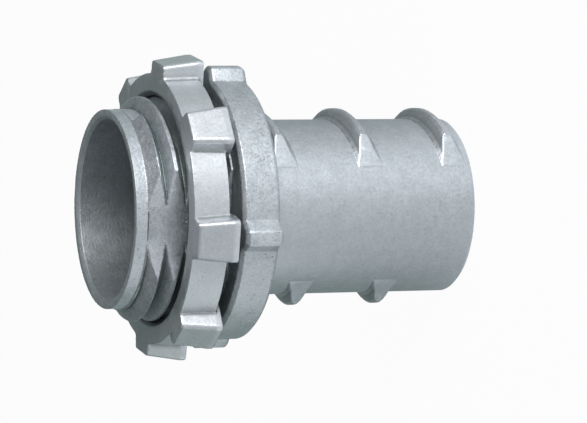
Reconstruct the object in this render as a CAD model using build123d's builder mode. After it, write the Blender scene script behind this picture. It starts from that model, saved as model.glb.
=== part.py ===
"""Screw-in connector for half-inch flexible metal conduit: a die-cast body and its locknut.

The connector stands on the end of its ribbed spigot. The origin is the centre of that end, +Z runs
along the bore towards the male thread, and +X and +Y pass through wrench lugs of the shoulder.
Lengths are in millimetres, angles in degrees.
"""

from build123d import *
from math import ceil, cos, radians, sin, tan
import os

os.makedirs("parts", exist_ok=True)

# Lengths along the axis, from the spigot end to the male end
spigot_length = 21.3
shoulder_thickness = 3.7
male_length = 9.2
lead_ring_length = 1.1

# Bores
spigot_wall = 1.17
male_wall = 0.92
male_bore_depth = 8.2
bore_taper_angle = 35.0
bore_edge_chamfer = 0.3

# Spigot and its interrupted helical rib
spigot_radius = 8.27
spigot_edge_chamfer = 0.4
rib_height = 1.06
rib_base_width = 2.0
rib_crest_width = 0.7
rib_crest_bevel = 0.2
rib_foot_bevel = 0.35
rib_pitch = 8.5
rib_lead = 5.1
rib_first_height = 2.57
rib_far_side_shift = 0.3
rib_arc_count = 5
rib_window_angle = -4.0
rib_end_angle = 54.5

# Shoulder with its wrench lugs
shoulder_radius = 12.4
shoulder_lug_count = 4
shoulder_lug_height = 1.1
shoulder_lug_base_angle = 13.4
shoulder_lug_crest_angle = 5.5
shoulder_lug_rounding = 0.4
shoulder_edge_chamfer = 0.35

# Male thread, fourteen turns to the inch, with a flat on each side at the parting line
thread_crest_radius = 10.5
thread_depth = 1.2
thread_pitch = 25.4 / 14
thread_flank_angle = 30.0
thread_crest_width = 0.3
thread_start_angle = -18.0
thread_start_setback = 1.7
thread_flat_depth = 1.35
thread_flat_angle = 2.5
lead_cone_length = 1.3
thread_open_angle = 150.0
groove_reach = 0.1

# Locknut
nut_front_height = 4.8
nut_rim_thickness = 3.3
nut_lug_overhang = 0.55
nut_turn_angle = -0.3
nut_wall = 2.25
nut_lug_height = 1.44
nut_lug_front_height = 1.18
nut_lug_count = 8
nut_lug_base_angle = 18.9
nut_lug_crest_angle = 15.5
nut_lug_front_share = 0.87
nut_draft_angle = 4.0
nut_bore_clearance = 0.15
nut_bore_chamfer = 0.4
nut_lug_rounding = 0.42

# Depth to which a joined shape is sunk into the surface that carries it
seat_depth = 0.2
rib_foot_depth = 0.02
lug_root_depth = 1.4

# Heights and radii that follow
shoulder_top = spigot_length + shoulder_thickness
overall_length = shoulder_top + male_length
thread_top = overall_length - lead_ring_length
thread_root_radius = thread_crest_radius - thread_depth
male_bore_radius = thread_root_radius - male_wall
throat_radius = spigot_radius - spigot_wall
rib_crest_radius = spigot_radius + rib_height
nut_bore_radius = thread_crest_radius + nut_bore_clearance
nut_rim_radius = nut_bore_radius + nut_wall
nut_front = shoulder_top + nut_front_height
nut_rim_back = nut_front - nut_rim_thickness
nut_lug_back = nut_rim_back - nut_lug_overhang


def polar_point(radius, angle):
    """Point of the XY plane at a radius and an angle from +X."""
    return (radius * cos(radians(angle)), radius * sin(radians(angle)))


def lug_outline(rim_radius, lug_height, base_angle, crest_angle):
    """Corners of one tapered lug about +X, from inside its rim to its flat outer face."""
    base_x, base_y = polar_point(rim_radius, base_angle / 2)
    crest_x = rim_radius + lug_height
    crest_y = crest_x * tan(radians(crest_angle / 2))
    return [
        (rim_radius - lug_root_depth, -base_y),
        (base_x, -base_y),
        (crest_x, -crest_y),
        (crest_x, crest_y),
        (base_x, base_y),
        (rim_radius - lug_root_depth, base_y),
    ]


def lugged_disc(rim_radius, lug_count, lug_height, base_angle, crest_angle, rounding):
    """Disc with equally spaced lugs and rounded corners."""
    lug = lug_outline(rim_radius, lug_height, base_angle, crest_angle)
    with BuildSketch() as disc:
        Circle(rim_radius)
        with PolarLocations(0, lug_count):
            Polygon(*lug, align=None)
        fillet(disc.vertices(), radius=rounding)
    return disc.sketch


def helix_at(pitch, rise, radius, base_height, start_angle):
    """Right-handed helix about +Z that starts at a height and an angle from +X."""
    path = Edge.make_helix(pitch, rise, radius, (0, 0, base_height))
    return path.rotate(Axis.Z, start_angle)


def radial_plane(angle, height):
    """Plane through the axis at an angle: its X points outwards and its Y along the axis."""
    outwards = Vector(*polar_point(1.0, angle), 0)
    return Plane(origin=(0, 0, height), x_dir=outwards, z_dir=outwards.cross(Vector(0, 0, 1)))


# Interrupted rib: short right-handed arcs, by turns on either side of the parting line.
# Each arc fades out on planes that are tangent to the spigot, so that the die can open.
rib_sweep_angle = 2 * rib_end_angle + 8.0
rib_arc_rise = rib_lead * rib_sweep_angle / 360
rib_foot_radius = spigot_radius - rib_foot_depth
rib_foot_half_width = rib_base_width / 2 + rib_foot_bevel

with BuildPart() as ribs:
    for index in range(rib_arc_count):
        far_side = index % 2
        start_angle = rib_window_angle + 180.0 * far_side - rib_sweep_angle / 2
        middle_height = rib_first_height + index * rib_pitch / 2 + far_side * rib_far_side_shift
        start_height = middle_height - rib_arc_rise / 2
        arc_path = helix_at(rib_lead, rib_arc_rise, spigot_radius, start_height, start_angle)
        with BuildSketch(radial_plane(start_angle, start_height)) as rib_section:
            with BuildLine():
                Polyline(
                    (spigot_radius - seat_depth, -rib_foot_half_width),
                    (rib_foot_radius, -rib_foot_half_width),
                    (rib_foot_radius, -rib_base_width / 2),
                    (rib_crest_radius, -rib_crest_width / 2),
                    (rib_crest_radius, rib_crest_width / 2),
                    (rib_foot_radius, rib_base_width / 2),
                    (rib_foot_radius, rib_foot_half_width),
                    (spigot_radius - seat_depth, rib_foot_half_width),
                    close=True,
                )
            make_face()
            chamfer(rib_section.vertices().group_by(Axis.X)[-1], length=rib_crest_bevel)
            foot_corners = rib_section.vertices().group_by(Axis.X)[1].sort_by(lambda v: abs(v.Y))[:2]
            chamfer(foot_corners, length=rib_foot_bevel)
        sweep(path=arc_path, is_frenet=True)
    with BuildSketch(Plane.XY.rotated((0, 0, rib_window_angle))):
        with BuildLine():
            window_x = spigot_radius / cos(radians(rib_end_angle))
            window_y = spigot_radius / sin(radians(rib_end_angle))
            Polyline((window_x, 0), (0, window_y), (-window_x, 0), (0, -window_y), close=True)
        make_face()
    extrude(amount=spigot_length, mode=Mode.INTERSECT)

# Male thread: a helical groove cut into a blank with a lead cone. The ridge starts abruptly, so
# before its start the groove is open towards the lead ring.
thread_slope = tan(radians(thread_flank_angle))
groove_root_width = thread_pitch - thread_crest_width - 2 * thread_depth * thread_slope
groove_reach_radius = thread_crest_radius + groove_reach
groove_reach_width = groove_root_width + 2 * (thread_depth + groove_reach) * thread_slope
groove_top = overall_length - thread_start_setback + thread_pitch / 2
groove_turns = ceil((groove_top - shoulder_top + thread_pitch / 2) / thread_pitch)
flat_distance = thread_crest_radius - thread_flat_depth

with BuildPart() as male_thread:
    with BuildSketch(Plane.XZ):
        with BuildLine():
            Polyline(
                (0, spigot_length),
                (thread_crest_radius, spigot_length),
                (thread_crest_radius, thread_top - lead_cone_length),
                (thread_root_radius, thread_top),
                (0, thread_top),
                close=True,
            )
        make_face()
    revolve(axis=Axis.Z)
    for turn in range(groove_turns):
        turn_height = groove_top - (turn + 1) * thread_pitch
        turn_path = helix_at(
            thread_pitch, thread_pitch, thread_root_radius, turn_height, thread_start_angle
        )
        with BuildSketch(radial_plane(thread_start_angle, turn_height)):
            with BuildLine():
                Polyline(
                    (thread_root_radius, -groove_root_width / 2),
                    (groove_reach_radius, -groove_reach_width / 2),
                    (groove_reach_radius, groove_reach_width / 2),
                    (thread_root_radius, groove_root_width / 2),
                    close=True,
                )
            make_face()
        sweep(path=turn_path, is_frenet=True, mode=Mode.SUBTRACT)
    open_height = groove_top - thread_pitch
    open_path = helix_at(
        thread_pitch,
        thread_pitch * thread_open_angle / 360,
        thread_root_radius,
        open_height,
        thread_start_angle,
    )
    with BuildSketch(radial_plane(thread_start_angle, open_height)):
        with BuildLine():
            Polyline(
                (thread_root_radius + rib_foot_depth, 0),
                (groove_reach_radius, 0),
                (groove_reach_radius, thread_pitch),
                (thread_root_radius + rib_foot_depth, thread_pitch),
                close=True,
            )
        make_face()
    sweep(path=open_path, is_frenet=True, mode=Mode.SUBTRACT)
    with BuildSketch(Plane.XY.offset(spigot_length).rotated((0, 0, thread_flat_angle))):
        Rectangle(4 * thread_crest_radius, 2 * flat_distance)
    extrude(amount=thread_top - spigot_length, mode=Mode.INTERSECT)

# The casting: shoulder, spigot, ribs, thread and lead ring are one piece around the bores.
shoulder_outline = lugged_disc(
    shoulder_radius,
    shoulder_lug_count,
    shoulder_lug_height,
    shoulder_lug_base_angle,
    shoulder_lug_crest_angle,
    shoulder_lug_rounding,
)

with BuildPart() as connector_body:
    # Shoulder with its lugs
    with BuildSketch(Plane.XY.offset(spigot_length)):
        add(shoulder_outline)
    extrude(amount=shoulder_thickness)
    shoulder_edges = connector_body.faces().filter_by(Axis.Z).edges()
    chamfer(shoulder_edges, length=shoulder_edge_chamfer)

    # Spigot with its bevelled end, and the lead ring at the end of the thread
    with BuildSketch(Plane.XY) as spigot_outline:
        Circle(spigot_radius)
    extrude(amount=shoulder_top)
    chamfer(connector_body.faces().sort_by(Axis.Z)[0].edges(), length=spigot_edge_chamfer)
    add(male_thread.part)
    with BuildSketch(Plane.XY.offset(thread_top)):
        Circle(thread_root_radius)
    extrude(amount=lead_ring_length)
    add(ribs.part)

    # Throat through the spigot and the wider bore of the male end
    taper_length = (male_bore_radius - throat_radius) / tan(radians(bore_taper_angle))
    bore_floor = overall_length - male_bore_depth
    with BuildSketch(Plane.XZ):
        with BuildLine():
            Polyline(
                (0, 0),
                (throat_radius, 0),
                (throat_radius, bore_floor - taper_length),
                (male_bore_radius, bore_floor),
                (male_bore_radius, overall_length),
                (0, overall_length),
                close=True,
            )
        make_face()
    revolve(axis=Axis.Z, mode=Mode.SUBTRACT)
    male_end_edges = connector_body.faces().sort_by(Axis.Z)[-1].edges().sort_by(SortBy.LENGTH)
    chamfer(male_end_edges[0], length=bore_edge_chamfer)
    spigot_end_edges = connector_body.faces().sort_by(Axis.Z)[0].edges().sort_by(SortBy.LENGTH)
    chamfer(spigot_end_edges[0], length=bore_edge_chamfer)

connector_body.part.label = "connector_body"
export_step(connector_body.part, "parts/connector_body.step")

# The locknut: a drafted ring with eight lugs that reach past its back face.
nut_back_outline = lugged_disc(
    nut_rim_radius,
    nut_lug_count,
    nut_lug_height,
    nut_lug_base_angle,
    nut_lug_crest_angle,
    nut_lug_rounding,
)
nut_front_outline = lugged_disc(
    nut_rim_radius - nut_rim_thickness * tan(radians(nut_draft_angle)),
    nut_lug_count,
    nut_lug_front_height,
    nut_lug_base_angle * nut_lug_front_share,
    nut_lug_crest_angle * nut_lug_front_share,
    nut_lug_rounding,
)
nut_lug = lug_outline(nut_rim_radius, nut_lug_height, nut_lug_base_angle, nut_lug_crest_angle)

with BuildPart() as locknut:
    with BuildSketch(Plane.XY.offset(nut_rim_back).rotated((0, 0, nut_turn_angle))):
        add(nut_back_outline)
    with BuildSketch(Plane.XY.offset(nut_front).rotated((0, 0, nut_turn_angle))):
        add(nut_front_outline)
    loft(ruled=True)
    with BuildSketch(Plane.XY.offset(nut_lug_back).rotated((0, 0, nut_turn_angle))):
        add(nut_back_outline)
        with PolarLocations(0, nut_lug_count):
            Polygon(*nut_lug, align=None, mode=Mode.INTERSECT)
    extrude(amount=nut_lug_overhang)
    with BuildSketch(Plane.XY.offset(nut_lug_back)):
        Circle(nut_bore_radius)
    extrude(amount=nut_front - nut_lug_back, mode=Mode.SUBTRACT)
    front_face = locknut.faces().sort_by(Axis.Z)[-1]
    chamfer(front_face.inner_wires()[0].edges(), length=nut_bore_chamfer)
    bore_edges = locknut.edges().filter_by(GeomType.CIRCLE)
    back_edges = bore_edges.filter_by(lambda edge: abs(edge.radius - nut_bore_radius) < 1e-6)
    chamfer(back_edges.sort_by(Axis.Z)[0], length=nut_bore_chamfer)

locknut.part.label = "locknut"
export_step(locknut.part, "parts/locknut.step")
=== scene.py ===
"""Looks of a die-cast screw-in conduit connector: its casting, its locknut and a plain studio.

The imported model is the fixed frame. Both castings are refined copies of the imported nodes, with the
soft edges of a die casting. Lengths are in metres in the row's own frame, and in millimetres where a
comment or a docstring says so.
"""

import logging
import math
from dataclasses import dataclass, field
from enum import Enum

import bpy
import numpy as np
from mathutils import Matrix, Vector
from mathutils.bvhtree import BVHTree


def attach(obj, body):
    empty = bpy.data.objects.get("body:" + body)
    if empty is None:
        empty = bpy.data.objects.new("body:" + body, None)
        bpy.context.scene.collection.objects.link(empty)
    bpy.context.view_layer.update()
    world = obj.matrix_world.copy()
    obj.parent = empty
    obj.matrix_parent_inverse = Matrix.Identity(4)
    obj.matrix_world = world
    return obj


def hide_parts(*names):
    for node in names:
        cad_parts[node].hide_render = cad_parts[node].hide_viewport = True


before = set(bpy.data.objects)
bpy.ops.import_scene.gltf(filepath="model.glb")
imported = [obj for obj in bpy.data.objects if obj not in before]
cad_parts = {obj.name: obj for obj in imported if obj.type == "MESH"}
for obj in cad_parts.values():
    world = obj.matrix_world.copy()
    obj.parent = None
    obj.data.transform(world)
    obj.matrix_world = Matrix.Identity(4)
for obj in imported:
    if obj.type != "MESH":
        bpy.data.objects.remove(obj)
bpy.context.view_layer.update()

LOG = logging.getLogger("connector")
MM = 0.001
WHITE = (1.0, 1.0, 1.0)
BLACK = (0.0, 0.0, 0.0)

# A colour without its alpha, and what a socket can be given: another socket, a number or a vector.
Colour = tuple[float, float, float]
Given = object

# Added where a division could be by zero.
TINY = 1e-6

# Shape of the castings. The lengths are in millimetres, apart from the first, which is in metres.
MERGE_APART = 1e-6
SOFT_SHARE = 0.5
TRUE_REACH = 0.06
TRUE_FACING = 0.8
LONG_EDGE = 0.8

# How far an edge bends, which brightens raised edges as wear and painted highlight and darkens creases
# as painted shade: the bend that counts as a full edge, and the rounds that spread it.
FULL_BEND = 2.0
BEND_ROUNDS = 3

# How sheltered a point lies, which the finish darkens as painted shade: the rays sent out, their reach
# and start, the least share of a ray that counts, how much less a far wall counts than a near one, and
# the rounds that spread the result.
SHELTER_RAYS = 26
SHELTER_REACH = 4.5
SHELTER_GAP = 0.1
SHELTER_GRAZING = 0.15
SHELTER_FADE = 0.6
SHELTER_ROUNDS = 2

# Which skin a core has shaped: it faces the bore axis and lies above the bottom edge.
CORE_STEEPNESS = 2.0
CORE_START = 0.6
CORE_BOTTOM = 0.3

# The cast skin. Scales are in features for each millimetre, depths in millimetres.
WAVE_SCALE = 0.45
PATCH_SCALE = 0.9
SPECK_SCALE = 3.1
GRAIN_MOTTLE = 1.4
PIT_SCALE = 4.2
PIT_DEPTH = 0.03
PIT_LEVEL = 0.9
PIT_STEEPNESS = 14.0
PIT_LIFT = 0.12
PIT_FINE_SHARE = 0.3
CLUMP_SCALE = 0.7
CLUMP_HEIGHT = 0.35
CORE_MARK_SCALE = 6.0
CORE_MARK_DEPTH = 0.012
CORE_MARK_WANDER = 0.12

# How dull the pits are, how much painted shade darkens sheltered recesses and the inward bore skin, and
# what changes the roughness.
METALLIC = 0.85
PIT_DULLNESS = 0.45
SHELTER_START = 0.2
SHELTER_GAIN = 1.3
CORE_SHADE = 0.28
CORE_ROUGHNESS = 0.1
MOTTLE_ROUGHNESS = 0.12


class Kind(Enum):
    """Kinds of value that go into and out of a node group."""

    NUMBER = "NodeSocketFloat"
    COLOUR = "NodeSocketColor"
    VECTOR = "NodeSocketVector"


class PointValue(Enum):
    """Values that are measured at each point of a casting."""

    # Bend of each point: raised edges are painted brighter, creases painted darker as shade.
    EDGE = "edge_rub"
    # How sheltered each point lies, which the finish paints as shade.
    SHELTER = "shelter"
    # Skin that faces the bore axis, which the finish darkens as painted shade and marks and roughens as
    # core skin.
    CORE = "core_skin"


@dataclass(frozen=True)
class ViewFrame:
    """Directions of the picture in the row's frame, from the turn of the part and of the camera."""

    turn: float = math.radians(10.13)
    swing: float = math.radians(21.19)
    tilt: float = math.radians(2.2)

    def right(self) -> Vector:
        """Picture's right."""
        return -math.cos(self.swing) * Vector((0, 0, 1)) - math.sin(self.swing) * self._across()

    def up(self) -> Vector:
        """Picture's up."""
        return math.sin(self.tilt) * self._back() + math.cos(self.tilt) * self._rise()

    def ahead(self) -> Vector:
        """Direction in which the camera looks."""
        return math.cos(self.tilt) * self._back() - math.sin(self.tilt) * self._rise()

    def point(self, right: float, up: float, ahead: float) -> Vector:
        """Direction with the given shares of right, up and ahead.

        Args:
            right: Share of the picture's right.
            up: Share of the picture's up.
            ahead: Share of the camera's look direction.

        Returns:
            The direction, one long.
        """
        mixed = right * self.right() + up * self.up() + ahead * self.ahead()
        return mixed.normalized()

    def raised(self, degrees: float) -> Vector:
        """Direction from the part to the camera's side, raised in the picture by some degrees."""
        return self.point(0.0, math.sin(math.radians(degrees)), -math.cos(math.radians(degrees)))

    def _rise(self) -> Vector:
        """Radial direction that is nearly up in the picture."""
        return Vector((math.cos(self.turn), math.sin(self.turn), 0))

    def _across(self) -> Vector:
        """Radial direction that is nearly away from the camera."""
        return Vector((-math.sin(self.turn), math.cos(self.turn), 0))

    def _back(self) -> Vector:
        """Look direction before the tilt."""
        return -math.sin(self.swing) * Vector((0, 0, 1)) + math.cos(self.swing) * self._across()


def level_part(direction: Vector) -> Vector:
    """Level direction below a direction."""
    return Vector((direction.x, direction.y, 0)).normalized()


def give(tree: bpy.types.NodeTree, socket: bpy.types.NodeSocket, value: Given) -> None:
    """Give a socket its value, by a link where the value is another socket.

    Args:
        tree: Tree that holds the socket.
        socket: The socket.
        value: A socket, a number, a vector or a colour.
    """
    if isinstance(value, bpy.types.NodeSocket):
        tree.links.new(value, socket)
    elif socket.type == "RGBA":
        socket.default_value = (*value, 1)
    else:
        socket.default_value = value


def math_node(
    tree: bpy.types.NodeTree, operation: str, first: Given, second: Given = 0.0, clamp: bool = False
) -> bpy.types.NodeSocket:
    """Add a Math node.

    Args:
        tree: Tree that gets the node.
        operation: Its operation.
        first: A socket or a number.
        second: A socket or a number.
        clamp: Whether the result is kept from 0 to 1.

    Returns:
        Its output.
    """
    node = tree.nodes.new("ShaderNodeMath")
    node.operation = operation
    node.use_clamp = clamp
    give(tree, node.inputs[0], first)
    give(tree, node.inputs[1], second)
    return node.outputs[0]


def vector_node(
    tree: bpy.types.NodeTree, operation: str, first: Given, second: Given = BLACK, scale: Given = 1.0
) -> bpy.types.NodeSocket:
    """Add a Vector Math node.

    Args:
        tree: Tree that gets the node.
        operation: Its operation.
        first: A socket or a vector.
        second: A socket or a vector.
        scale: A socket or a number, for the operation that scales.

    Returns:
        Its output, a number where the operation measures something.
    """
    node = tree.nodes.new("ShaderNodeVectorMath")
    node.operation = operation
    give(tree, node.inputs[0], first)
    if operation == "SCALE":
        give(tree, node.inputs["Scale"], scale)
    else:
        give(tree, node.inputs[1], second)
    measures = operation in ("DOT_PRODUCT", "LENGTH", "DISTANCE")
    return node.outputs["Value" if measures else "Vector"]


def noise_node(
    tree: bpy.types.NodeTree, place: bpy.types.NodeSocket, scale: Given, detail: float
) -> bpy.types.NodeSocket:
    """Add a Noise node.

    Args:
        tree: Tree that gets the node.
        place: Coordinates.
        scale: A socket or a number, in features for each unit of the coordinates.
        detail: Number of finer layers.

    Returns:
        Its value, from 0 to 1.
    """
    node = tree.nodes.new("ShaderNodeTexNoise")
    node.inputs["Detail"].default_value = detail
    give(tree, node.inputs["Vector"], place)
    give(tree, node.inputs["Scale"], scale)
    return node.outputs["Fac"]


def fade_node(
    tree: bpy.types.NodeTree,
    value: bpy.types.NodeSocket,
    start: float,
    end: float,
    low: float = 0.0,
    high: float = 1.0,
) -> bpy.types.NodeSocket:
    """Add a soft fade between two levels.

    Args:
        tree: Tree that gets the node.
        value: What the fade follows.
        start: Value at which it starts.
        end: Value at which it ends.
        low: Level at its start.
        high: Level at its end.

    Returns:
        The level.
    """
    node = tree.nodes.new("ShaderNodeMapRange")
    node.interpolation_type = "SMOOTHSTEP"
    give(tree, node.inputs["Value"], value)
    for name, number in (("From Min", start), ("From Max", end), ("To Min", low), ("To Max", high)):
        node.inputs[name].default_value = number
    return node.outputs["Result"]


def mix_node(
    tree: bpy.types.NodeTree, share: bpy.types.NodeSocket, first: Given, second: Given
) -> bpy.types.NodeSocket:
    """Add a mix of two colours.

    Args:
        tree: Tree that gets the node.
        share: Share of the second colour.
        first: A socket or a colour.
        second: A socket or a colour.

    Returns:
        The mixed colour.
    """
    node = tree.nodes.new("ShaderNodeMix")
    node.data_type = "RGBA"
    give(tree, node.inputs["Factor"], share)
    give(tree, node.inputs["A"], first)
    give(tree, node.inputs["B"], second)
    return node.outputs["Result"]


def start_group(name: str, inputs: dict[str, Kind], outputs: dict[str, Kind]) -> bpy.types.NodeTree:
    """Start a node group.

    Args:
        name: Its name.
        inputs: Its inputs and their kinds.
        outputs: Its outputs and their kinds.

    Returns:
        The group's tree, with the nodes "given" and "result" at its ends.
    """
    tree = bpy.data.node_groups.new(name, "ShaderNodeTree")
    for side, values in (("INPUT", inputs), ("OUTPUT", outputs)):
        for value, kind in values.items():
            tree.interface.new_socket(name=value, in_out=side, socket_type=kind.value)
    tree.nodes.new("NodeGroupInput").name = "given"
    tree.nodes.new("NodeGroupOutput").name = "result"
    return tree


def pit_mask(
    tree: bpy.types.NodeTree, place: bpy.types.NodeSocket, share: bpy.types.NodeSocket
) -> bpy.types.NodeSocket:
    """Add fine scattered pits that gather in clumps.

    Args:
        tree: Tree that gets the nodes.
        place: Coordinates in millimetres.
        share: How thickly they lie, from 0 to 1.

    Returns:
        A mask that is 1 in the middle of a pit.
    """
    clumps = math_node(tree, "MULTIPLY", noise_node(tree, place, CLUMP_SCALE, detail=1.0), CLUMP_HEIGHT)
    height = math_node(tree, "ADD", noise_node(tree, place, PIT_SCALE, detail=2.0), clumps)
    lift = math_node(tree, "MULTIPLY", share, PIT_LIFT)
    above = math_node(tree, "SUBTRACT", math_node(tree, "ADD", height, lift), PIT_LEVEL)
    return math_node(tree, "MULTIPLY", above, PIT_STEEPNESS, clamp=True)


def core_marks(
    tree: bpy.types.NodeTree, place: bpy.types.NodeSocket, core: bpy.types.NodeSocket
) -> bpy.types.NodeSocket:
    """Add the fine marks that a core leaves along the bore.

    Args:
        tree: Tree that gets the nodes.
        place: Coordinates in millimetres.
        core: Share of core skin.

    Returns:
        Their height in millimetres.
    """
    drawn = vector_node(tree, "MULTIPLY", place, (CORE_MARK_WANDER, CORE_MARK_WANDER, 1.0))
    marks = noise_node(tree, drawn, CORE_MARK_SCALE, detail=1.0)
    return math_node(tree, "MULTIPLY", math_node(tree, "MULTIPLY", marks, CORE_MARK_DEPTH), core)


def cast_grain() -> bpy.types.NodeTree:
    """Group that gives the height and the mottle of an as-cast skin.

    Returns:
        The group, built once.
    """
    name = "cast_grain"
    if name in bpy.data.node_groups:
        return bpy.data.node_groups[name]
    numbers = (
        "Grain Size", "Grain Depth", "Wave Depth", "Pit Share", "Coarse From", "Coarse Gain", "Core",
    )
    inputs = {"Place": Kind.VECTOR} | dict.fromkeys(numbers, Kind.NUMBER)
    tree = start_group(name, inputs, dict.fromkeys(("Height", "Mottle", "Pits"), Kind.NUMBER))
    given = tree.nodes["given"].outputs
    result = tree.nodes["result"].inputs
    place = vector_node(tree, "SCALE", given["Place"], scale=1 / MM)
    fine = noise_node(tree, place, math_node(tree, "DIVIDE", 1.0, given["Grain Size"]), detail=2.0)
    long_waves = noise_node(tree, place, WAVE_SCALE, detail=1.0)

    parts = tree.nodes.new("ShaderNodeSeparateXYZ")
    give(tree, parts.inputs[0], place)
    higher = math_node(tree, "SUBTRACT", parts.outputs["Z"], given["Coarse From"], clamp=True)
    outside = math_node(tree, "SUBTRACT", 1.0, given["Core"])
    above = math_node(tree, "MULTIPLY", higher, outside)
    extra = math_node(tree, "SUBTRACT", given["Coarse Gain"], 1.0)
    coarse = math_node(tree, "ADD", math_node(tree, "MULTIPLY", above, extra), 1.0)

    depth = math_node(tree, "MULTIPLY", coarse, given["Grain Depth"])
    fine_height = math_node(tree, "MULTIPLY", fine, depth)
    wave_height = math_node(tree, "MULTIPLY", long_waves, given["Wave Depth"])
    height = math_node(tree, "ADD", fine_height, wave_height)
    spread = math_node(tree, "MULTIPLY", above, 1 - PIT_FINE_SHARE)
    thick = math_node(tree, "ADD", spread, PIT_FINE_SHARE)
    pits = math_node(tree, "MULTIPLY", pit_mask(tree, place, given["Pit Share"]), thick)
    height = math_node(tree, "ADD", height, math_node(tree, "MULTIPLY", pits, -PIT_DEPTH))
    height = math_node(tree, "ADD", height, core_marks(tree, place, given["Core"]))
    give(tree, result["Height"], height)
    give(tree, result["Pits"], pits)

    patches = noise_node(tree, place, PATCH_SCALE, detail=3.0)
    specks = noise_node(tree, place, SPECK_SCALE, detail=2.0)
    broad = math_node(tree, "SUBTRACT", math_node(tree, "ADD", patches, specks), 1.0)
    grains = math_node(tree, "MULTIPLY", math_node(tree, "SUBTRACT", fine, 0.5), GRAIN_MOTTLE)
    mottle = math_node(tree, "MULTIPLY", math_node(tree, "ADD", broad, grains), coarse)
    give(tree, result["Mottle"], mottle)
    return tree


def rubbed_edges() -> bpy.types.NodeTree:
    """Group that brightens raised edges as rubbed wear and painted highlight, paints shade into
    creases, sheltered recesses and the bore, and dulls pits.

    Returns:
        The group, built once.
    """
    name = "rubbed_edges"
    if name in bpy.data.node_groups:
        return bpy.data.node_groups[name]
    numbers = ("Edge", "Shelter", "Core", "Mottle", "Mottle Share", "Pits", "Wear And Sheen", "Roughness")
    inputs = dict.fromkeys(numbers, Kind.NUMBER) | dict.fromkeys(("Metal", "Pit And Shade Colour"), Kind.COLOUR)
    tree = start_group(name, inputs, {"Color": Kind.COLOUR, "Roughness": Kind.NUMBER})
    given = tree.nodes["given"].outputs
    result = tree.nodes["result"].inputs

    # Painted shade: creases, sheltered recesses and the inward bore skin take the dark colour; the pits
    # take it as their own dull colour.
    shade_and_pits = math_node(tree, "MULTIPLY", given["Edge"], -1.0, clamp=True)
    dull = math_node(tree, "MULTIPLY", given["Pits"], PIT_DULLNESS)
    shade_and_pits = math_node(tree, "MAXIMUM", shade_and_pits, dull)
    closed = math_node(tree, "SUBTRACT", given["Shelter"], SHELTER_START)
    deep = math_node(tree, "MULTIPLY", closed, SHELTER_GAIN)
    shade_and_pits = math_node(tree, "MAXIMUM", shade_and_pits, deep, clamp=True)
    cored = math_node(tree, "MULTIPLY", given["Core"], CORE_SHADE)
    shade_and_pits = math_node(tree, "MAXIMUM", shade_and_pits, cored)
    skin = mix_node(tree, shade_and_pits, given["Metal"], given["Pit And Shade Colour"])

    # Painted highlight and wear: raised edges are made brighter.
    raised = math_node(tree, "MULTIPLY", given["Edge"], 1.0, clamp=True)
    patch = math_node(tree, "MULTIPLY", given["Mottle"], given["Mottle Share"])
    shine = math_node(tree, "MULTIPLY", raised, given["Wear And Sheen"])
    gain = math_node(tree, "ADD", math_node(tree, "ADD", patch, shine), 1.0)
    give(tree, result["Color"], vector_node(tree, "SCALE", skin, scale=gain))

    rougher = math_node(tree, "MULTIPLY", given["Mottle"], MOTTLE_ROUGHNESS)
    drawn = math_node(tree, "MULTIPLY", given["Core"], CORE_ROUGHNESS)
    change = math_node(tree, "ADD", rougher, drawn)
    give(tree, result["Roughness"], math_node(tree, "ADD", given["Roughness"], change, clamp=True))
    return tree


def bare_material(name: str, kind: str) -> tuple[bpy.types.Material, bpy.types.Node]:
    """Start a material that has one shader and no other node.

    Args:
        name: Name of the material.
        kind: Type of the shader node.

    Returns:
        The material and the shader node.
    """
    material = bpy.data.materials.new(name)
    material.use_nodes = True
    tree = material.node_tree
    tree.nodes.clear()
    output = tree.nodes.new("ShaderNodeOutputMaterial")
    shader = tree.nodes.new(kind)
    give(tree, output.inputs["Surface"], shader.outputs[0])
    return material, shader


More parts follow.
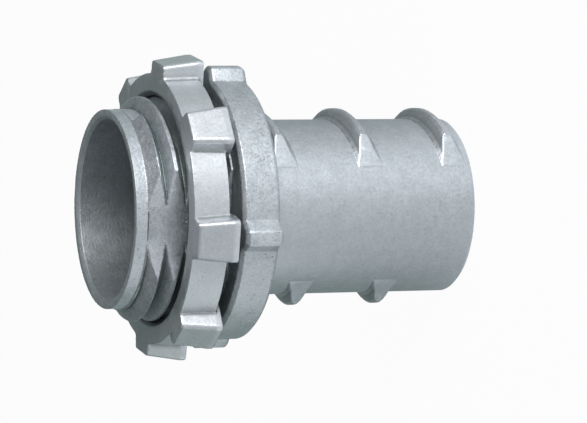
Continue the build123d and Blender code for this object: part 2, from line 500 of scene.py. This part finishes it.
@dataclass(frozen=True)
class CastFinish:
    """Finish of an as-cast zinc surface.

    Attributes:
        name: Name of the material.
        slot: Slot of the record that the finish belongs to; not used.
        metal: Colour of the bare metal.
        pit_and_shade_colour: Colour of the dull pits, and of the painted shade in creases, sheltered
            recesses and the bore.
        roughness: Mean roughness.
        grain_size: Width of a grain in millimetres.
        grain_depth: Height of the grain in millimetres.
        wave_depth: Height of the long cooling waves in millimetres.
        mottle: Share by which patches differ in brightness.
        wear_and_sheen: Share by which raised edges are brighter, as rubbed wear and painted highlight.
        pits: How thickly the fine pits lie, from 0 to 1.
        coarse_from: Height in millimetres above which the skin is coarser.
        coarse_gain: How many times coarser it is there.
    """

    name: str
    slot: str
    metal: Colour
    pit_and_shade_colour: Colour
    roughness: float
    grain_size: float
    grain_depth: float
    wave_depth: float
    mottle: float
    wear_and_sheen: float
    pits: float
    coarse_from: float
    coarse_gain: float

    def material(self) -> bpy.types.Material:
        """Build the material.

        Returns:
            The new material.
        """
        material, shader = bare_material(self.name, "ShaderNodeBsdfPrincipled")
        tree = material.node_tree
        place = tree.nodes.new("ShaderNodeTexCoord")
        core = self._point_value(tree, PointValue.CORE)
        grain = self._place_group(tree, cast_grain(), {
            "Place": place.outputs["Object"],
            "Grain Size": self.grain_size,
            "Grain Depth": self.grain_depth,
            "Wave Depth": self.wave_depth,
            "Pit Share": self.pits,
            "Coarse From": self.coarse_from,
            "Coarse Gain": self.coarse_gain,
            "Core": core,
        })
        # This group paints highlight on raised edges and shade in creases, sheltered recesses and the
        # bore.
        wear_and_shade = self._place_group(tree, rubbed_edges(), {
            "Edge": self._point_value(tree, PointValue.EDGE),
            "Shelter": self._point_value(tree, PointValue.SHELTER),
            "Core": core,
            "Mottle": grain.outputs["Mottle"],
            "Mottle Share": self.mottle,
            "Pits": grain.outputs["Pits"],
            "Wear And Sheen": self.wear_and_sheen,
            "Roughness": self.roughness,
            "Metal": self.metal,
            "Pit And Shade Colour": self.pit_and_shade_colour,
        })
        bump = tree.nodes.new("ShaderNodeBump")
        bump.inputs["Strength"].default_value = 1.0
        bump.inputs["Distance"].default_value = MM
        give(tree, bump.inputs["Height"], grain.outputs["Height"])
        shader.inputs["Metallic"].default_value = METALLIC
        give(tree, shader.inputs["Base Color"], wear_and_shade.outputs["Color"])
        give(tree, shader.inputs["Roughness"], wear_and_shade.outputs["Roughness"])
        give(tree, shader.inputs["Normal"], bump.outputs["Normal"])
        return material

    def _place_group(
        self, tree: bpy.types.NodeTree, group: bpy.types.NodeTree, values: dict[str, Given]
    ) -> bpy.types.Node:
        """Place a node group in the material.

        Args:
            tree: The material's tree.
            group: The group.
            values: What each of its inputs gets.

        Returns:
            The new node.
        """
        node = tree.nodes.new("ShaderNodeGroup")
        node.node_tree = group
        for name, value in values.items():
            give(tree, node.inputs[name], value)
        return node

    def _point_value(self, tree: bpy.types.NodeTree, value: PointValue) -> bpy.types.NodeSocket:
        """Read a value that is measured at each point.

        Args:
            tree: The material's tree.
            value: Which value.

        Returns:
            The value.
        """
        node = tree.nodes.new("ShaderNodeAttribute")
        node.attribute_name = value.value
        return node.outputs["Fac"]


def select_only(piece: bpy.types.Object) -> None:
    """Leave one object selected and active.

    Args:
        piece: The object.
    """
    bpy.ops.object.select_all(action="DESELECT")
    piece.select_set(True)
    bpy.context.view_layer.objects.active = piece


def point_rows(mesh: bpy.types.Mesh, name: str) -> np.ndarray:
    """Read a vector at each point of a mesh.

    Args:
        mesh: The mesh.
        name: The vector, co or normal.

    Returns:
        One row for each point.
    """
    rows = np.empty(len(mesh.vertices) * 3, np.float32)
    mesh.vertices.foreach_get(name, rows)
    return rows.reshape(-1, 3)


@dataclass(frozen=True)
class TurnedFace:
    """Cylinder or cone about the bore axis, in millimetres.

    Attributes:
        low: Height and radius at its lower end.
        high: Height and radius at its upper end.
    """

    low: tuple[float, float]
    high: tuple[float, float]

    def slope(self) -> float:
        """Growth of the radius for each millimetre of height."""
        return (self.high[1] - self.low[1]) / (self.high[0] - self.low[0])

    def true_normals(self, place: np.ndarray, normal: np.ndarray) -> None:
        """Turn the normals of points that lie on the face square to it.

        Args:
            place: Points in millimetres, all on the face.
            normal: Their normals, changed in place.
        """
        radius = np.hypot(place[:, 0], place[:, 1])[:, None]
        square = np.hstack((place[:, :2] / radius, np.full_like(radius, -self.slope())))
        square /= math.hypot(1, self.slope())
        normal[:] = square * np.sign(np.sum(square * normal, axis=1))[:, None]

    def true_up(self, place: np.ndarray, normal: np.ndarray) -> np.ndarray:
        """Move the points that lie near the face onto it.

        Args:
            place: Points in millimetres, changed in place.
            normal: Their normals.

        Returns:
            Which points lie wholly on the face now.
        """
        radius = np.hypot(place[:, 0], place[:, 1])
        rise = (place[:, 2] - self.low[0]) / (self.high[0] - self.low[0])
        wanted = self.low[1] + self.slope() * (place[:, 2] - self.low[0])
        outwards = np.abs(normal[:, 0] * place[:, 0] + normal[:, 1] * place[:, 1]) / radius
        share = np.clip(2 - 2 * np.abs(radius - wanted) / TRUE_REACH, 0, 1)
        near = (rise > 0) & (rise < 1) & (share > 0) & (outwards > TRUE_FACING)
        aim = radius + share * (wanted - radius)
        place[near, :2] *= (aim[near] / radius[near])[:, None]
        return near & (share == 1)


def packed_walls() -> BVHTree:
    """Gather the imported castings, in millimetres, as walls that a ray can meet.

    Returns:
        The walls.
    """
    corners: list[tuple[float, float, float]] = []
    sides: list[tuple[int, ...]] = []
    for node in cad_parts.values():
        first = len(corners)
        corners += [tuple(vertex.co / MM) for vertex in node.data.vertices]
        sides += [tuple(first + index for index in side.vertices) for side in node.data.polygons]
    return BVHTree.FromPolygons(corners, sides)


def sheltered_share(place: np.ndarray, normal: np.ndarray, walls: BVHTree) -> np.ndarray:
    """Measure how much metal stands near and in front of each point.

    Args:
        place: Points in millimetres.
        normal: Their normals.
        walls: The metal.

    Returns:
        For each point 0 in the open, up to 1 in a closed corner.
    """
    starts = (place + SHELTER_GAP * normal).tolist()
    hidden = np.zeros(len(place))
    total = np.full(len(place), TINY)
    golden = math.pi * (3 - math.sqrt(5))
    for index in range(SHELTER_RAYS):
        height = 1 - (2 * index + 1) / SHELTER_RAYS
        ring = math.sqrt(1 - height**2)
        aim = (ring * math.cos(golden * index), ring * math.sin(golden * index), height)
        share = normal @ np.array(aim)
        for point in np.flatnonzero(share > SHELTER_GRAZING).tolist():
            total[point] += share[point]
            reached = walls.ray_cast(starts[point], aim, SHELTER_REACH)[3]
            if reached is not None:
                hidden[point] += share[point] * (1 - SHELTER_FADE * reached / SHELTER_REACH)
    return hidden / total


class Net:
    """Edges of a mesh, for values that spread from each point to its neighbours."""

    def __init__(self, mesh: bpy.types.Mesh) -> None:
        """Read the edges.

        Args:
            mesh: The mesh.
        """
        self.count = len(mesh.vertices)
        pairs = np.empty(len(mesh.edges) * 2, np.int32)
        mesh.edges.foreach_get("vertices", pairs)
        self.first, self.second = pairs.reshape(-1, 2).T
        ends = np.bincount(pairs, minlength=self.count)
        self.links = np.maximum(ends, 1)

    def mean_of_edges(self, values: np.ndarray) -> np.ndarray:
        """Average a value of the edges at each point.

        Args:
            values: One value for each edge.

        Returns:
            One value for each point.
        """
        at_first = np.bincount(self.first, values, self.count)
        at_second = np.bincount(self.second, values, self.count)
        return (at_first + at_second) / self.links

    def spread(self, values: np.ndarray) -> np.ndarray:
        """Mix each point's value with the mean of its neighbours, half and half.

        Args:
            values: One value for each point.

        Returns:
            The mixed values.
        """
        from_second = np.bincount(self.first, values[self.second], self.count)
        from_first = np.bincount(self.second, values[self.first], self.count)
        return 0.5 * values + 0.5 * (from_second + from_first) / self.links


@dataclass
class Casting:
    """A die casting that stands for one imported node.

    Attributes:
        node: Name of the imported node.
        body: Name of the body that it rides on.
        finish: Its finish.
        cell: Width of a cell of the refined mesh, in millimetres.
        rounds: Smoothing rounds that soften the edges.
        faces: Most triangles of the finished mesh.
        turned: Its cylinders and cones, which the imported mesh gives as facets.
        walls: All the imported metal, for the shelter of its recesses.
        worn_below: Height in millimetres below which the edges are softer.
        worn_rounds: Further smoothing rounds there.
    """

    node: str
    body: str
    finish: CastFinish
    cell: float
    rounds: int
    faces: int
    turned: tuple[TurnedFace, ...]
    walls: BVHTree
    worn_below: float = 0.0
    worn_rounds: int = 0

    def build(self) -> bpy.types.Object:
        """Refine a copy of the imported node, dress it and put it in its place.

        Returns:
            The finished piece.
        """
        piece = self._copy_node()
        trued = self._soften(piece)
        self._measure_points(piece, trued)
        piece.data.materials.append(self.finish.material())
        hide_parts(self.node)
        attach(piece, self.body)
        LOG.info("%s: %d faces", piece.name, len(piece.data.polygons))
        return piece

    def _copy_node(self) -> bpy.types.Object:
        """Copy the node's mesh, with its doubled points merged.

        Returns:
            The copy.
        """
        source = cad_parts[self.node]
        piece = bpy.data.objects.new(f"{self.node}_cast", source.data.copy())
        bpy.context.scene.collection.objects.link(piece)
        piece.data.materials.clear()
        select_only(piece)
        bpy.ops.object.mode_set(mode="EDIT")
        bpy.ops.mesh.select_all(action="SELECT")
        bpy.ops.mesh.remove_doubles(threshold=MERGE_APART)
        bpy.ops.object.mode_set(mode="OBJECT")
        return piece

    def _soften(self, piece: bpy.types.Object) -> np.ndarray:
        """Remesh in millimetres, soften the edges and thin the flat regions.

        Args:
            piece: The copy of the node.

        Returns:
            Which points lie on turned faces.
        """
        piece.scale = (1 / MM,) * 3
        bpy.ops.object.transform_apply(location=False, rotation=False, scale=True)
        remesh = piece.modifiers.new("cells", "REMESH")
        remesh.mode = "VOXEL"
        remesh.voxel_size = self.cell
        remesh.adaptivity = 0.0
        bpy.ops.object.modifier_apply(modifier=remesh.name)
        self._smooth(piece, self.rounds)
        if self.worn_rounds:
            self._wear(piece)
        self._true_up(piece)
        thin = piece.modifiers.new("thinned", "DECIMATE")
        thin.ratio = min(1.0, self.faces / (2 * len(piece.data.polygons)))
        bpy.ops.object.modifier_apply(modifier=thin.name)
        bpy.ops.object.shade_smooth()
        trued = self._true_up(piece, set_normals=True)
        piece.scale = (MM,) * 3
        bpy.ops.object.transform_apply(location=False, rotation=False, scale=True)
        return trued

    def _smooth(self, piece: bpy.types.Object, rounds: int, group: str = "") -> None:
        """Soften the edges.

        Args:
            piece: The piece, in millimetres.
            rounds: Smoothing rounds.
            group: Name of the points that it acts on, or nothing for all of them.
        """
        smooth = piece.modifiers.new("soft_edges", "CORRECTIVE_SMOOTH")
        smooth.factor = SOFT_SHARE
        smooth.iterations = rounds
        smooth.smooth_type = "SIMPLE"
        smooth.vertex_group = group
        bpy.ops.object.modifier_apply(modifier=smooth.name)

    def _wear(self, piece: bpy.types.Object) -> None:
        """Soften the edges of the lower part further.

        Args:
            piece: The piece, in millimetres.
        """
        lower = piece.vertex_groups.new(name="lower")
        below = np.flatnonzero(point_rows(piece.data, "co")[:, 2] < self.worn_below)
        lower.add(below.tolist(), 1.0, "REPLACE")
        self._smooth(piece, self.worn_rounds, lower.name)
        piece.vertex_groups.clear()

    def _true_up(self, piece: bpy.types.Object, set_normals: bool = False) -> np.ndarray:
        """Move the points of the turned faces onto their cylinders and cones.

        Args:
            piece: The piece, in millimetres.
            set_normals: Whether those points also get the normals of their faces.

        Returns:
            Which points they are.
        """
        mesh = piece.data
        place = point_rows(mesh, "co")
        normal = point_rows(mesh, "normal")
        trued = np.zeros(len(place), bool)
        for face in self.turned:
            on_face = face.true_up(place, normal)
            kept = normal[on_face]
            face.true_normals(place[on_face], kept)
            normal[on_face] = kept
            trued |= on_face
        mesh.vertices.foreach_set("co", place.ravel())
        mesh.update()
        if set_normals:
            own = point_rows(mesh, "normal")
            own[trued] = normal[trued]
            mesh.normals_split_custom_set_from_vertices(own)
        LOG.info("%s: %d of %d points trued", piece.name, trued.sum(), len(place))
        return trued

    def _measure_points(self, piece: bpy.types.Object, trued: np.ndarray) -> None:
        """Store how far each point stands out, how sheltered it lies, and whether a core shaped it.

        Args:
            piece: The refined copy.
            trued: Which of its points lie on turned faces, and so on no edge.
        """
        mesh = piece.data
        place = point_rows(mesh, "co") / MM
        normal = point_rows(mesh, "normal")
        net = Net(mesh)
        step = place[net.second] - place[net.first]
        length = np.linalg.norm(step, axis=1) + TINY
        turn = np.einsum("ij,ij->i", normal[net.second] - normal[net.first], step) / length**2
        stretched = (length > LONG_EDGE) & (trued[net.first] | trued[net.second])
        plain = trued.copy()
        plain[net.first[stretched]] = True
        plain[net.second[stretched]] = True

        bend = net.mean_of_edges(turn)
        bend[plain] = 0
        for _ in range(BEND_ROUNDS):
            bend = net.spread(bend)
            bend[plain] = 0
        self._store(mesh, PointValue.EDGE, np.clip(bend / FULL_BEND, -1, 1))

        # Sheltered points are later darkened in colour as painted shade.
        sheltered = sheltered_share(place, normal, self.walls)
        for _ in range(SHELTER_ROUNDS):
            sheltered = net.spread(sheltered)
        sheltered[plain] = 0
        self._store(mesh, PointValue.SHELTER, sheltered)

        # The inward bore skin is later darkened in colour as painted shade, and gets its core marks and
        # roughness.
        outwards = normal[:, 0] * place[:, 0] + normal[:, 1] * place[:, 1]
        inwards = -outwards / np.hypot(place[:, 0], place[:, 1])
        core = np.clip(CORE_STEEPNESS * inwards - CORE_START, 0, 1) * (place[:, 2] > CORE_BOTTOM)
        self._store(mesh, PointValue.CORE, core)

    def _store(self, mesh: bpy.types.Mesh, name: PointValue, values: np.ndarray) -> None:
        """Store a value for each point."""
        attribute = mesh.attributes.new(name.value, "FLOAT", "POINT")
        attribute.data.foreach_set("value", values.astype(np.float32))


@dataclass
class Studio:
    """Plain pale floor that glows with painted light in reflections, soft even light from above the
    picture, and the camera.

    Attributes:
        view: Directions of the picture.
        dim: Colour and level of the even light on the dim side.
        bright: The same on the bright side.
        bright_height: Degrees by which the bright side is raised in the picture.
        band: Colour and level that the brightest band adds.
        band_height: Degrees by which the band is raised.
        band_edge: Cosine of the angle at which the band ends.
        world_level: Level of that light where it comes from the world.
        floor_width: Width of the floor.
        floor_grey: Shade of the floor in scattered light.
        floor_glow: Share of the floor's look that its own white gives.
        near_floor: Distance from the bore axis up to which the part's own shade lies on the floor.
        far_floor: Distance at which that shade has faded out.
        far_gain: Share by which the floor is brighter there.
        painted_pool: Colour and level of the painted pool of light that the floor shows in reflections.
        painted_pool_height: Degrees by which the pool's side is raised.
        painted_pool_distance: Distance of the pool's middle from the bore axis.
        painted_pool_width: Distance from its middle at which it has faded out.
        painted_pool_core: Share of that distance at which it starts to fade.
        lamp_side: Shares of up and ahead in the direction to the lamp.
        lamp_aim: Height of the point that the lamp faces.
        lamp_distance: Distance from that point to the lamp.
        lamp_width: Width of the lamp.
        lamp_level: Brightness of its face.
        camera_aim: Height in millimetres from which the camera's place is measured.
        camera_right: How far the camera stands to the right, in millimetres.
        camera_back: How far it stands back, in millimetres.
        camera_drop: How far it stands below, in millimetres.
        lens: Focal length in millimetres.
        sensor: Width of the sensor in millimetres.
    """

    view: ViewFrame = field(default_factory=ViewFrame)
    dim: Colour = (0.255, 0.315, 0.305)
    bright: Colour = (0.63, 0.67, 0.695)
    bright_height: float = 12.0
    band: Colour = (0.18, 0.19, 0.21)
    band_height: float = 42.0
    band_edge: float = 0.72
    world_level: float = 0.45
    floor_width: float = 6.0
    floor_grey: float = 0.85
    floor_glow: float = 0.96
    near_floor: float = 50 * MM
    far_floor: float = 90 * MM
    far_gain: float = 0.25
    painted_pool: Colour = (0.70, 0.72, 0.73)
    painted_pool_height: float = -75.0
    painted_pool_distance: float = 95 * MM
    painted_pool_width: float = 50 * MM
    painted_pool_core: float = 0.4
    lamp_side: tuple[float, float] = (0.62, -0.78)
    lamp_aim: float = 20 * MM
    lamp_distance: float = 0.5
    lamp_width: float = 0.22
    lamp_level: float = 8.5
    camera_aim: float = 34.2
    camera_right: float = 17.59
    camera_back: float = 333.8
    camera_drop: float = 0.209
    lens: float = 219.87
    sensor: float = 36.0

    def build(self) -> None:
        """Build the floor, the world, the lamp and the camera."""
        self._floor()
        self._world()
        self._lamp()
        self._camera()
        LOG.info("studio: lamp's face at level %.2f", self.lamp_level)

    def _light_round(
        self,
        tree: bpy.types.NodeTree,
        direction: bpy.types.NodeSocket,
        bright_side: Vector,
        band_side: Vector,
    ) -> bpy.types.NodeSocket:
        """Add the light that comes from a direction: an even fade and a soft band.

        Args:
            tree: Tree that gets the nodes.
            direction: Direction, one long.
            bright_side: Direction of the bright side of the fade.
            band_side: Direction of the band's middle.

        Returns:
            The colour.
        """
        along = vector_node(tree, "DOT_PRODUCT", direction, bright_side)
        even = mix_node(tree, fade_node(tree, along, -1.0, 1.0), self.dim, self.bright)
        along = vector_node(tree, "DOT_PRODUCT", direction, band_side)
        band = mix_node(tree, fade_node(tree, along, self.band_edge, 1.0), BLACK, self.band)
        return vector_node(tree, "ADD", even, band)

    def _painted_pool(self, tree: bpy.types.NodeTree, place: bpy.types.NodeSocket) -> bpy.types.NodeSocket:
        """Add the painted pool of light that lies on the floor below the picture, seen only in
        reflections.

        Args:
            tree: Tree that gets the nodes.
            place: Place on the floor.

        Returns:
            The colour that it adds.
        """
        # Painted pool of light: a pale patch on the floor that only reflections see.
        middle = level_part(self.view.raised(self.painted_pool_height)) * self.painted_pool_distance
        apart = vector_node(tree, "DISTANCE", place, middle)
        share = fade_node(tree, apart, self.painted_pool_core * self.painted_pool_width, self.painted_pool_width, 1.0, 0.0)
        return vector_node(tree, "SCALE", self.painted_pool, scale=share)

    def _mirrored_floor(self, tree: bpy.types.NodeTree) -> bpy.types.NodeSocket:
        """Add the painted reflection that the floor glows with in reflections: the studio light, with
        painted shade that makes it dimmer near the part and a painted pool of light.

        Args:
            tree: Tree that gets the nodes.

        Returns:
            The colour.
        """
        place = tree.nodes.new("ShaderNodeTexCoord").outputs["Object"]
        bright_side = level_part(self.view.raised(self.bright_height))
        band_side = level_part(self.view.raised(self.band_height))
        light = self._light_round(tree, vector_node(tree, "NORMALIZE", place), bright_side, band_side)
        apart = vector_node(tree, "LENGTH", place)
        gain = fade_node(tree, apart, self.near_floor, self.far_floor, 1.0, 1.0 + self.far_gain)
        lit = vector_node(tree, "SCALE", light, scale=gain)
        return vector_node(tree, "ADD", lit, self._painted_pool(tree, place))

    def _floor(self) -> None:
        """Add the floor: white in the picture, with a faint shadow, and in reflections a glow with
        painted shade near the part and a painted pool of light.
        """
        bpy.ops.object.select_all(action="DESELECT")
        bpy.ops.mesh.primitive_plane_add(size=self.floor_width, location=(0, 0, 0))
        floor = bpy.context.object
        floor.name = "floor"
        material, mix = bare_material("floor_white", "ShaderNodeMixShader")
        tree = material.node_tree
        matte = tree.nodes.new("ShaderNodeBsdfDiffuse")
        matte.inputs["Color"].default_value = (*(self.floor_grey,) * 3, 1)
        ray = tree.nodes.new("ShaderNodeLightPath").outputs
        mirrored = math_node(tree, "MAXIMUM", ray["Is Glossy Ray"], ray["Is Transmission Ray"])
        glow = tree.nodes.new("ShaderNodeEmission")
        # Painted reflection: glossy rays see the floor glow with the studio light, painted shade near
        # the part and a painted pool of light.
        shown = mix_node(tree, mirrored, WHITE, self._mirrored_floor(tree))
        give(tree, glow.inputs["Color"], shown)
        glow.inputs["Strength"].default_value = 1.0
        seen = math_node(tree, "MAXIMUM", ray["Is Camera Ray"], mirrored)
        give(tree, mix.inputs["Fac"], math_node(tree, "MULTIPLY", seen, self.floor_glow))
        give(tree, mix.inputs[1], matte.outputs[0])
        give(tree, mix.inputs[2], glow.outputs[0])
        floor.data.materials.append(material)

    def _world(self) -> None:
        """Add the even light from all round, brighter on one side."""
        world = bpy.data.worlds.new("studio_world")
        world.use_nodes = True
        tree = world.node_tree
        background = tree.nodes["Background"]
        direction = tree.nodes.new("ShaderNodeTexCoord").outputs["Generated"]
        bright_side = self.view.raised(self.bright_height)
        band_side = self.view.raised(self.band_height)
        light = self._light_round(tree, direction, bright_side, band_side)
        give(tree, background.inputs["Color"], light)
        background.inputs["Strength"].default_value = self.world_level
        bpy.context.scene.world = world

    def _lamp(self) -> None:
        """Add the soft square lamp that lights the bore and the upper flanks."""
        direction = self.view.point(0.0, *self.lamp_side)
        data = bpy.data.lights.new("key", "AREA")
        data.shape = "SQUARE"
        data.size = self.lamp_width
        data.energy = self.lamp_level * math.pi * self.lamp_width**2
        lamp = bpy.data.objects.new("key", data)
        bpy.context.scene.collection.objects.link(lamp)
        lamp.location = Vector((0, 0, self.lamp_aim)) + direction * self.lamp_distance
        lamp.rotation_euler = direction.to_track_quat("Z", "Y").to_euler()

    def _camera(self) -> None:
        """Add the camera at the picture's viewing angle."""
        data = bpy.data.cameras.new("camera")
        data.sensor_width = self.sensor
        data.lens = self.lens
        data.clip_start = 0.01
        data.clip_end = 20.0
        camera = bpy.data.objects.new("camera", data)
        bpy.context.scene.collection.objects.link(camera)
        right, up, ahead = self.view.right(), self.view.up(), self.view.ahead()
        offset = self.camera_right * right - self.camera_back * ahead - self.camera_drop * up
        place = offset + Vector((0, 0, self.camera_aim))
        turned = Matrix((right, up, -ahead)).transposed().to_4x4()
        camera.matrix_world = Matrix.Translation(place * MM) @ turned
        bpy.context.scene.camera = camera


BODY_FINISH = CastFinish(
    name="cast_zinc_body",
    slot="body_casting",
    metal=(0.63, 0.655, 0.685),
    # Dark teal colour of the pits and of the painted shade in recesses and the bore.
    pit_and_shade_colour=(0.17, 0.21, 0.205),
    roughness=0.42,
    grain_size=0.22,
    grain_depth=0.018,
    wave_depth=0.05,
    mottle=0.25,
    wear_and_sheen=0.15,
    pits=0.35,
    coarse_from=20.5,
    coarse_gain=1.6,
)
NUT_FINISH = CastFinish(
    name="cast_zinc_nut",
    slot="locknut_casting",
    metal=(0.67, 0.69, 0.71),
    # Dark colour of the pits and of the painted shade in recesses and the bore.
    pit_and_shade_colour=(0.22, 0.25, 0.24),
    roughness=0.38,
    grain_size=0.22,
    grain_depth=0.012,
    wave_depth=0.04,
    mottle=0.2,
    wear_and_sheen=0.15,
    pits=0.3,
    coarse_from=100.0,
    coarse_gain=1.0,
)

# Spigot, throat, taper, bore at the male end, shoulder, thread crests, lead cone, lead ring, ribs.
BODY_TURNED = (
    TurnedFace((0.4, 8.27), (21.3, 8.27)),
    TurnedFace((0.3, 7.1), (24.17, 7.1)),
    TurnedFace((24.2, 7.1), (26.0, 8.38)),
    TurnedFace((26.0, 8.38), (33.9, 8.38)),
    TurnedFace((21.65, 12.4), (24.65, 12.4)),
    TurnedFace((25.0, 10.5), (31.8, 10.5)),
    TurnedFace((31.8, 10.5), (33.1, 9.3)),
    TurnedFace((33.1, 9.3), (34.2, 9.3)),
    TurnedFace((0.0, 9.33), (21.3, 9.33)),
)

# Outside between the lugs, and bore.
NUT_TURNED = (
    TurnedFace((26.5, 12.9), (29.8, 12.669)),
    TurnedFace((26.0, 10.65), (29.8, 10.65)),
)


def main() -> None:
    """Build the castings and the studio."""
    logging.basicConfig(level=logging.INFO, format="%(name)s %(message)s")
    bpy.context.scene.view_settings.view_transform = "Standard"
    walls = packed_walls()
    body = Casting(
        "connector_body", "body", BODY_FINISH, cell=0.1, rounds=3, faces=190000,
        turned=BODY_TURNED, walls=walls, worn_below=21.2, worn_rounds=10,
    )
    nut = Casting(
        "locknut", "nut", NUT_FINISH, cell=0.1, rounds=3, faces=120000,
        turned=NUT_TURNED, walls=walls,
    )
    for casting in (body, nut):
        casting.build()
    Studio().build()


if __name__ == "__main__":
    main()
